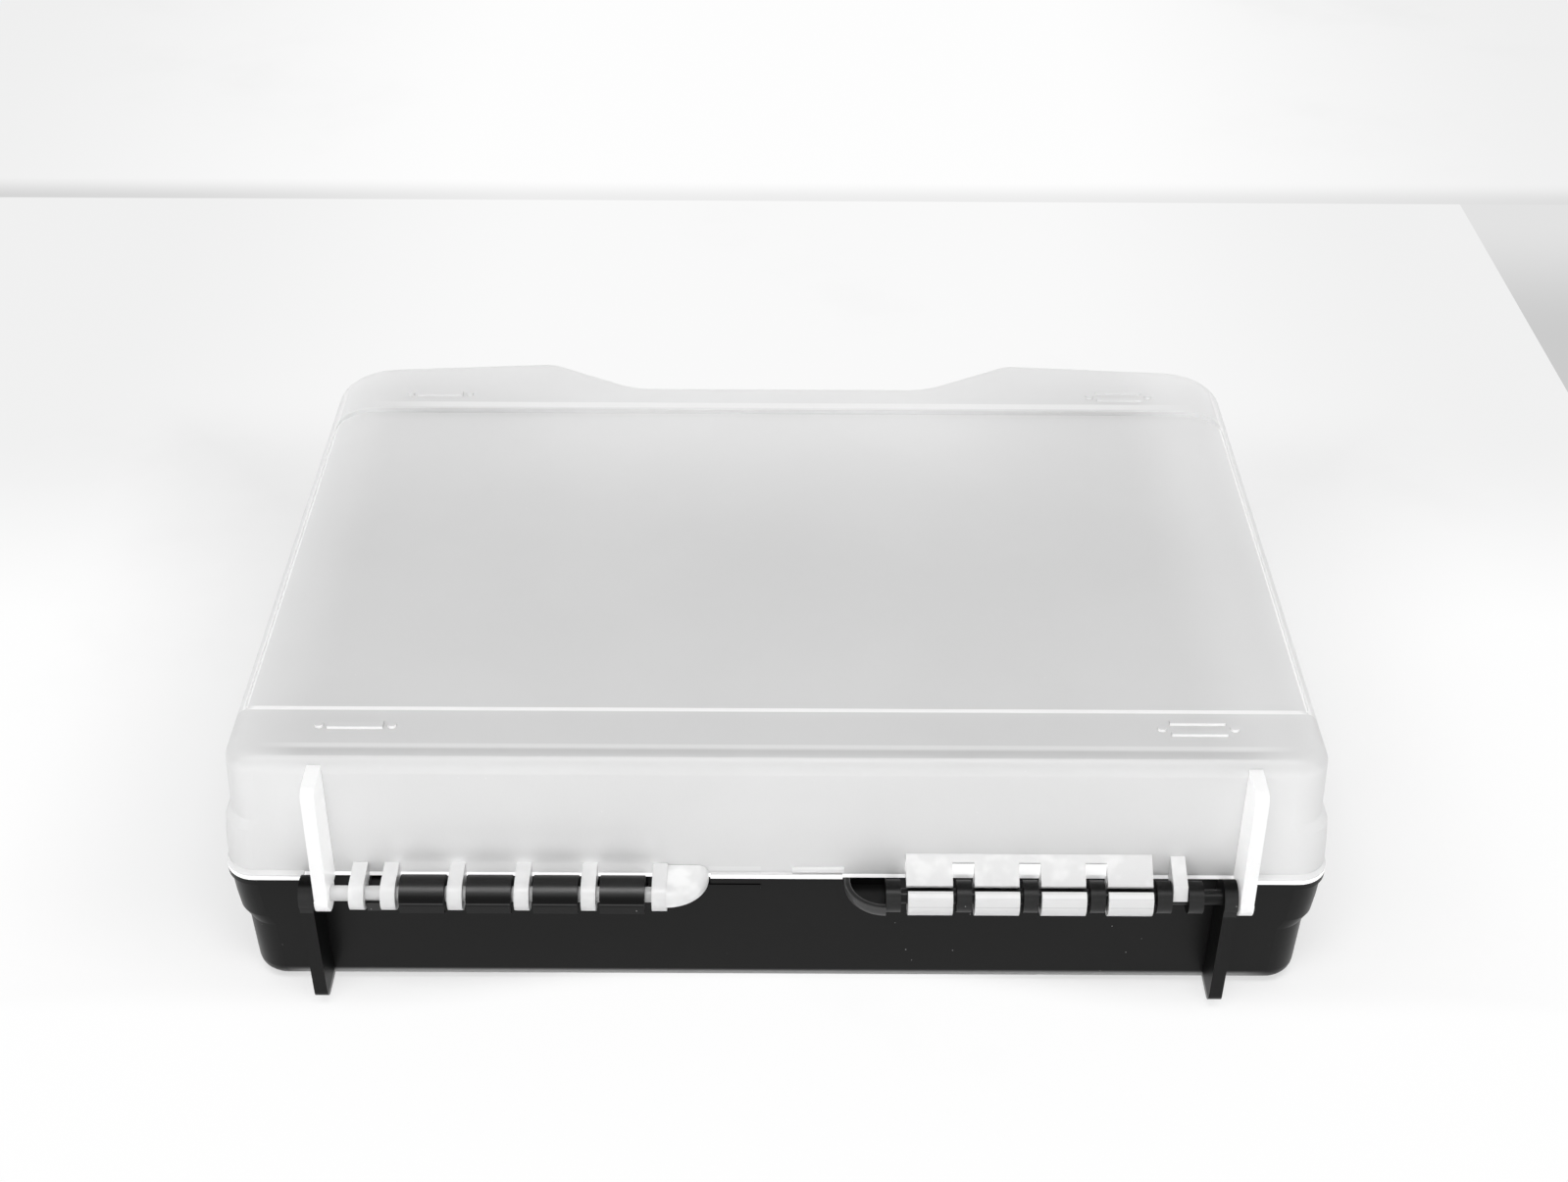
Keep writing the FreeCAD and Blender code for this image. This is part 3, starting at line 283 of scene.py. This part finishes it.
def mark_finish(name):
    """Raised marks as the floor under them, with its painted light and shade. Their edges toward the hinge
    get painted light and a painted glow, most near it.
    """
    paint = Paint(bpy.data.materials.new(name))
    to_hinge = paint.facing("Y", *TO_HINGE)
    near = paint.between(paint.y, *NEAR_HINGE)
    level = floor_painted_light_level(paint) + to_hinge * (MARK_PAINTED_LIGHT + NEAR_PAINTED_LIGHT * near)
    return paint.finish(frosted(
        paint, to_hinge * near * NEAR_PAINTED_GLOW,
        Base_Color=paint.tone(level),
        Roughness=MARK_ROUGHNESS + MARK_UNEVEN * paint.noise(MARK_BLOTS)))


# The lid's shell: its walls, how they turn into its floor, painted shade under its top front edge, painted
# light and a painted glow over and behind the hooks, and its rim, painted bright with a painted glow

WALL_LEVEL = 0.780
LOW_WALL, WALL_CORNERS = (66 * MM, 46 * MM, -0.03), (120 * MM, 150 * MM, 0.06)
WALL_TOP_PAINTED_SHADE = (TOP - 5 * MM, TOP - 2 * MM, -0.07)
FLOOR_RISE, FLOOR_FRONT = (TOP - 5.2 * MM, TOP - 1.7 * MM), (FRONT_EDGE - 3.6 * MM, FRONT_EDGE - 2.4 * MM)
OVER_HOOKS_PAINTED_LIGHT, BEHIND_HOOKS_PAINTED_GLOW = (60 * MM, 52 * MM, 0.05), (50 * MM, 44 * MM, 0.30)
CLOUDS, CLOUD_DIMMEST = 60 * MM, 0.985
CLOUD_TONES, CLOUD_ROUGHNESS = (0.3, 0.7, 0.03), (0.2, 0.8, 0.08)
SHELL_ROUGHNESS, SHELL_DEPTH = 0.36, 2 * MM
SHELL_DUST, SHELL_DUST_LIGHT = (9 * MM, 0.22 * MM), 0.08
RIM_TOP, RIM_PAINTED_LIGHT_LEVEL, RIM_PAINTED_GLOW, RIM_ROUGHNESS = PARTING + 1.3 * MM, 0.97, 0.40, 0.35


def shell_finish(name):
    """Frosted lid: milky walls, a floor painted dimmest over the middle of the dark hollow, painted light
    and glow by the hooks, a rim painted bright and glowing.
    """
    paint = Paint(bpy.data.materials.new(name))
    cloud = paint.noise(CLOUDS, detail=3.0)
    by_hooks = paint.strip(paint.x, **HOOK_ROW) * (paint.y < HINGE_WALL)
    wall = WALL_LEVEL + paint.between(paint.z, *LOW_WALL) + paint.between(abs(paint.x), *WALL_CORNERS)
    # The front wall is painted darker just under its top edge, as shade.
    wall = wall + paint.between(paint.z, *WALL_TOP_PAINTED_SHADE) * (paint.y < FRONT_EDGE) + painted_bar_light_and_shade(paint)
    # Over the hooks the wall is painted lighter, and behind them it has a painted glow.
    wall = wall + by_hooks * paint.between(paint.z, *OVER_HOOKS_PAINTED_LIGHT)
    on_floor = paint.between(paint.z, *FLOOR_RISE) * paint.between(paint.y, *FLOOR_FRONT)
    level = wall + on_floor * (floor_painted_light_level(paint) - wall)
    level = level * (CLOUD_DIMMEST + paint.between(cloud, *CLOUD_TONES))
    level = level + paint.specks(*SHELL_DUST) * SHELL_DUST_LIGHT + painted_edge_light_and_shade(paint)
    body = frosted(
        paint, by_hooks * paint.between(paint.z, *BEHIND_HOOKS_PAINTED_GLOW),
        Base_Color=paint.tone(level),
        Normal=paint.bump(paint.noise(GRAIN), GRAIN_RELIEF),
        Roughness=SHELL_ROUGHNESS + paint.between(cloud, *CLOUD_ROUGHNESS),
        Subsurface_Scale=SHELL_DEPTH, **MILKY)
    # The rim is painted bright with a painted glow, twice as much over the hooks.
    rim = frosted(paint, (1 + by_hooks) * RIM_PAINTED_GLOW, Base_Color=grey(RIM_PAINTED_LIGHT_LEVEL), Roughness=RIM_ROUGHNESS)
    return paint.finish(paint.mixed(paint.z < RIM_TOP, body, rim))


# The lid's thick parts

BLOTS, BLOT_EDGES, BLOT_ROUGHNESS = 7 * MM, (0.45, 0.65), 0.06
THICK_ROUGHNESS, THICK_DEPTH = 0.34, 1.2 * MM
THICK_DUST, THICK_DUST_DARK = (6 * MM, 0.20 * MM), 0.15
TO_RIGHT, TO_LEFT = (0.4, 0.9), (-0.4, -0.9)
NOTCH_Y, NOTCH_Z, NOTCH_PAINTED_GLOW = -115.0 * MM, 48.6 * MM, 0.62
CLIP_DARK_STRIPS = ((42.1 * MM, 42.5 * MM, -0.10), (44.6 * MM, 45.0 * MM, -0.10))


def thick_finish(name, level, blotch=0.0, glow=0.0, side_painted_glow=0.0, dark_strips=(), notched=False):
    """Solid frosted parts, with blotches where they are thicker.

    glow is a painted glow of a part that stands free, and the side glow paints more of it on the faces
    toward X, and the dark strips are darker bands in height. A notched part has a painted glow inside its
    notches.
    """
    paint = Paint(bpy.data.materials.new(name))
    blots = paint.between(paint.noise(BLOTS), *BLOT_EDGES)
    if blotch:
        level = level + blots * blotch
    if side_painted_glow:
        glow = glow + (paint.facing("X", *TO_RIGHT) + paint.facing("X", *TO_LEFT)) * side_painted_glow
    if notched:
        glow = glow + (paint.y > NOTCH_Y) * (paint.z < NOTCH_Z) * NOTCH_PAINTED_GLOW
    for dark_strip in dark_strips:
        level = level + paint.strip(paint.z, *dark_strip)
    return paint.finish(frosted(
        paint, glow,
        Base_Color=paint.tone(level - paint.specks(*THICK_DUST) * THICK_DUST_DARK),
        Normal=paint.bump(paint.noise(GRAIN), GRAIN_RELIEF),
        Roughness=THICK_ROUGHNESS + blots * BLOT_ROUGHNESS,
        Subsurface_Scale=THICK_DEPTH, **MILKY))


# The black plastic: its wiping marks and dust, and a painted reflection of the table on its bottom edge

BLACK, LATCH_BLACK = 0.002, 0.014
WIPING, ALONG_X = 30 * MM, (0.4, 1, 1)
WIPING_TONES, WIPING_ROUGHNESS = (0.35, 0.75, 0.5), (0.3, 0.8, 0.1)
BLACK_DUST, BLACK_DUST_LIGHT, DUST_ROUGHNESS = (5.8 * MM, 0.20 * MM), 0.35, 0.3
TABLE_PAINTED_REFLECTION = (5.8 * MM, 4.2 * MM, 0.30)
LOW_EDGE, LOW_EDGE_ENDS = (FRONT_EDGE + 3 * MM, FRONT_EDGE), (145 * MM, 130 * MM)

# What only some black parts have: painted light on their fronts, the hooks' painted lip highlight and shiny
# backs, and the scoop ring's painted light

FORWARD, LOW_SHARE = (-0.3, -0.9), 0.4
HOOK_LIP, LIP_PAINTED_LIGHT = 42.5 * MM, 0.012
HOOK_LIP_HIGHLIGHT = (HOOK_LIP, HOOK_LIP + 0.4 * MM, 0.05)
HOOK_BACK, HOOK_SHINE = {"low": 45.2 * MM, "high": 47.0 * MM, "soft": 0.7 * MM}, 0.6
RING, RING_PAINTED_LIGHT = 9.5 * MM, 0.012
RING_PAINTED_ARCS = ((RING, RING + 0.4 * MM, 0.05), (RING + 1.4 * MM, RING + 1.9 * MM, 0.05))


def black_finish(name, roughness, shine, level=BLACK, front=0.0, hooked=False, ring=False):
    """Satin black polypropylene: fine moulded grain, faint wiping marks and white dust specks.

    Faces toward the hinge side get painted light by front, less so under the hinge. A hooked part shines
    along its back, over a dull front with a painted highlight line above its lip and painted light on the
    lip. A ring part has painted light arcs at its scoop's edge. The front bottom edge has a painted
    reflection of the table.
    """
    paint = Paint(bpy.data.materials.new(name))
    wiping = paint.noise(WIPING, detail=4.0, place=paint.stretched(*ALONG_X))
    dust = paint.specks(*BLACK_DUST)
    low_edge = paint.between(paint.y, *LOW_EDGE) * paint.between(abs(paint.x), *LOW_EDGE_ENDS)
    level = level * (1 + paint.between(wiping, *WIPING_TONES)) + dust * BLACK_DUST_LIGHT
    level = level + paint.between(paint.z, *TABLE_PAINTED_REFLECTION) * low_edge
    if front:
        share = LOW_SHARE + (1 - LOW_SHARE) * (paint.z > FOOT_HEAD)
        level = level + share * paint.facing("Y", *FORWARD, front)
    if hooked:
        level = level + paint.strip(paint.z, *HOOK_LIP_HIGHLIGHT) + (paint.z < HOOK_LIP) * LIP_PAINTED_LIGHT
    if ring:
        from_centre = ((paint.x - SCOOP_X) ** 2 + (paint.y - SCOOP_Y) ** 2) ** 0.5
        inner, outer = (paint.strip(from_centre, *border) for border in RING_PAINTED_ARCS)
        level = level + (RING_PAINTED_LIGHT + inner + outer) * (from_centre > RING)
    look = {
        "Base_Color": paint.tone(level),
        "Normal": paint.bump(paint.noise(BLACK_GRAIN), GRAIN_RELIEF),
        "Roughness": roughness + paint.between(wiping, *WIPING_ROUGHNESS) + dust * DUST_ROUGHNESS,
        "IOR": IOR,
    }
    body = paint.shader(Specular_IOR_Level=shine, **look)
    if hooked:
        shiny = paint.shader(Specular_IOR_Level=HOOK_SHINE, **look)
        body = paint.mixed(paint.strip(paint.z, **HOOK_BACK), body, shiny)
    return paint.finish(body)


SHELL = shell_finish("frosted_shell")
# The feet have a painted glow, more of it on their faces toward X.
FOOT = thick_finish("frosted_foot", level=0.90, glow=0.09, side_painted_glow=0.16)
BLACK_HINGE = black_finish("black_hinge_plastic", roughness=0.30, shine=0.22)
BLACK_FOOT = black_finish("black_foot_plastic", roughness=0.36, shine=0.08, front=0.030)

# A finish for each node by its name, or by the first word of its name for all the others

# The frosted parts are one plastic; their different levels are painted light and shade on each part.
FINISHES = {
    "base": black_finish("black_plastic", roughness=0.30, shine=0.20),
    "base_hinge_rod": BLACK_HINGE,
    "base_hinge_knuckles": black_finish("black_knuckle_plastic", roughness=0.34, shine=0.20, front=0.018),
    "base_hinge_clips": black_finish("black_hook_plastic", roughness=0.34, shine=0.12, hooked=True),
    "base_rod_stop": BLACK_HINGE,
    "base_rod_scoop": black_finish("black_scoop_plastic", roughness=0.30, shine=0.22, ring=True),
    "base_inner_foot": BLACK_FOOT,
    "base_outer_foot": BLACK_FOOT,
    "latch": black_finish("black_latch_plastic", roughness=0.42, shine=0.25, level=LATCH_BLACK),
    "lid": thick_finish("frosted_thick", level=0.75, blotch=0.05),
    "lid_cover": SHELL,
    "lid_rim_lip": SHELL,
    "lid_hinge_rod": thick_finish("frosted_rod", level=0.58, blotch=0.05),
    "lid_hinge_clips": thick_finish("frosted_clip", level=0.77, dark_strips=CLIP_DARK_STRIPS),
    "lid_clip_plate": thick_finish("frosted_plate", level=0.66, blotch=0.10, notched=True),
    "lid_inner_foot": FOOT,
    "lid_outer_foot": FOOT,
    "lid_rod_scoop": thick_finish("frosted_scoop", level=0.80, blotch=0.12),
    "lid_stacking_marks": mark_finish("frosted_mark"),
}

for name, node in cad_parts.items():
    node.data.materials.clear()
    node.data.materials.append(FINISHES.get(name, FINISHES[name.split("_")[0]]))


# The floor, its places in metres: its size, the table's edges, and where the case shades the table

WHITE, FAR = 1.01, 3.0
TABLE_BACK, TABLE_RIGHT, EDGE_WIDTH = 0.417, 0.329, 0.002
BESIDE_CASE, BEHIND_CASE, BEFORE_CASE = (0.175, 0.265), (0.13, 0.23), (-0.112, -0.127)
MIDDLE_LEAD = (0.12, 0.02, 0.016)
GLOW_NEAR, GLOW_AWAY = 0.60, 0.95
SMUDGES, SMUDGE_EDGES = 0.22, (0.52, 0.75, 0.03)

# Greys of the table and of what lies past it, as ramps

TABLE_BEHIND, TABLE_GREY, TABLE_SIDES = (0.04, 0.20), 0.05, (0.10, 0.30, 0.075)
PAST_RIGHT, RIGHT_GREY, RIGHT_LIGHTER = (0.0, 0.2), 0.28, (0.28, 0.40, 0.17)
SHADE_START, SHADE_GREY, SHADE_LEFT = (-0.125, -0.065), 0.03, (0.10, -0.10, 0.04)
PAST_SIDES, PAST_EDGE = (0.10, 0.45, 0.13), (TABLE_BACK + 0.025, TABLE_BACK)
EDGE_GREY, EDGE_LEFT = 0.15, (-0.1, -0.3, 0.07)


def away_from_case(paint):
    """0 where the case shades the table, 1 away from it: a short way before it, further beside and behind.

    Before the case the shade ends sooner in the middle.
    """
    across = abs(paint.x)
    before = paint.between(paint.y - paint.between(across, *MIDDLE_LEAD), *BEFORE_CASE)
    return paint.most(paint.between(across, *BESIDE_CASE), before, paint.between(paint.y, *BEHIND_CASE))


def table_level(paint, away):
    """White in front of the case, greyer behind it and to the sides there, grey past the right edge, with a
    painted shadow beside the case, darker on the left.
    """
    behind = paint.between(paint.y, *TABLE_BEHIND) * (TABLE_GREY + paint.between(abs(paint.x), *TABLE_SIDES))
    right = (paint.x > TABLE_RIGHT) * paint.between(paint.y, *PAST_RIGHT)
    right = right * (RIGHT_GREY - paint.between(paint.y, *RIGHT_LIGHTER))
    shade = (SHADE_GREY + paint.between(paint.x, *SHADE_LEFT)) * (1 - away)
    return WHITE - behind - right - shade * paint.between(paint.y, *SHADE_START)


def past_table_level(paint):
    """What lies past the table: brightest in the middle, greyer to the sides and along the table's edge."""
    edge = paint.between(paint.y, *PAST_EDGE) * (EDGE_GREY + paint.between(paint.x, *EDGE_LEFT))
    return WHITE - paint.between(abs(paint.x), *PAST_SIDES) - edge


def floor_finish(name):
    """A matte pale surface. What the camera sees of it is partly its own even level, least near the case."""
    paint = Paint(bpy.data.materials.new(name))
    away = away_from_case(paint)
    smudge = paint.between(paint.noise(SMUDGES, detail=5.0, rough=0.6), *SMUDGE_EDGES)
    past = paint.between(paint.y, TABLE_BACK - EDGE_WIDTH / 2, TABLE_BACK + EDGE_WIDTH / 2)
    table = table_level(paint, away)
    colour = paint.tone(table + past * (past_table_level(paint) - table) - smudge)
    path = paint.node("ShaderNodeLightPath").outputs
    rays = ("Is Camera Ray", "Is Glossy Ray", "Is Transmission Ray")
    seen = paint.most(*(Value(paint, path[ray]) for ray in rays))
    lit = paint.shader("ShaderNodeBsdfDiffuse", Color=colour)
    glow = paint.shader("ShaderNodeEmission", Color=colour, Strength=1.0)
    return paint.finish(paint.mixed(seen * (GLOW_NEAR + (GLOW_AWAY - GLOW_NEAR) * away), lit, glow))


plane = bpy.data.meshes.new("white_floor")
plane.from_pydata([(-FAR, -FAR, 0), (FAR, -FAR, 0), (FAR, FAR, 0), (-FAR, FAR, 0)], [], [range(4)])
plane.materials.append(floor_finish("floor_white"))
floor = bpy.data.objects.new("white_floor", plane)
scene.collection.objects.link(floor)


# Light. Ramps of the sky are over its lean, Y over Z of a direction: 0 overhead, and more to the back

SKY, DARK_SKY, LOW_SKY, SEEN_SKY = 0.50, 0.12, 1.0, 1.0
DARK_START, LOW_START, HORIZON = (-0.10, 0.10), (0.70, 0.85), 0.001


def sky(name):
    """An even sky with a dark band just behind the point overhead and white below that, as near a wall."""
    paint = Paint(bpy.data.worlds.new(name), "Generated")
    lean = paint.y / paint.most(paint.z, HORIZON)
    low = paint.between(lean, *LOW_START)
    band = paint.between(lean, *DARK_START) - low
    level = SKY - band * (SKY - DARK_SKY) + low * (LOW_SKY - SKY)
    light = paint.shader("ShaderNodeBackground", Color=paint.tone(level), Strength=1.0)
    seen = paint.shader("ShaderNodeBackground", Color=grey(SEEN_SKY), Strength=1.0)
    camera_ray = paint.node("ShaderNodeLightPath").outputs["Is Camera Ray"]
    return paint.finish(paint.mixed(camera_ray, light, seen), "ShaderNodeOutputWorld")


def area_light(name, place, target, width, height, radiance):
    lamp = bpy.data.lights.new(name, "AREA")
    lamp.shape = "RECTANGLE"
    lamp.size, lamp.size_y, lamp.energy = width, height, radiance * math.pi * width * height
    light = bpy.data.objects.new(name, lamp)
    light.location = place
    light.rotation_mode = "QUATERNION"
    light.rotation_quaternion = (Vector(target) - Vector(place)).to_track_quat("-Z", "Y")
    scene.collection.objects.link(light)


scene.world = sky("studio")
area_light("softbox_overhead", place=(0, -0.66, 1.45), target=(0, -0.05, 0),
           width=0.9, height=0.42, radiance=9.5)
area_light("softbox_front", place=(-0.3, -1.9, 0.75), target=(0, 0, 0),
           width=1.6, height=0.8, radiance=1.4)

# The fitted view: place in metres, then by how many degrees a camera facing +Y tips down, turns and rolls

CAMERA_PLACE = (0.00124, -0.57699, 0.46260)
PITCH_DOWN, YAW, ROLL = (math.radians(angle) for angle in (34.885, 0.055, 0.304))
LENS, SENSOR, NEAREST, FARTHEST = 51.133, 36.0, 0.01, 20


def aim(pitch, yaw, roll):
    """Columns right, up and back of a camera turned by yaw about Z, tipped down by pitch and rolled."""
    forward = Vector((math.sin(yaw) * math.cos(pitch), math.cos(yaw) * math.cos(pitch), -math.sin(pitch)))
    right = Vector((math.cos(yaw), -math.sin(yaw), 0))
    up = right.cross(forward)
    rolled_right = math.cos(roll) * right + math.sin(roll) * up
    rolled_up = math.cos(roll) * up - math.sin(roll) * right
    return Matrix((rolled_right, rolled_up, -forward)).transposed()


lens = bpy.data.cameras.new("photo_camera")
lens.lens, lens.sensor_width = LENS, SENSOR
lens.clip_start, lens.clip_end = NEAREST, FARTHEST
camera = bpy.data.objects.new("photo_camera", lens)
camera.matrix_world = Matrix.Translation(CAMERA_PLACE) @ aim(PITCH_DOWN, YAW, ROLL).to_4x4()
scene.collection.objects.link(camera)
scene.camera = camera
scene.view_settings.view_transform = "Standard"
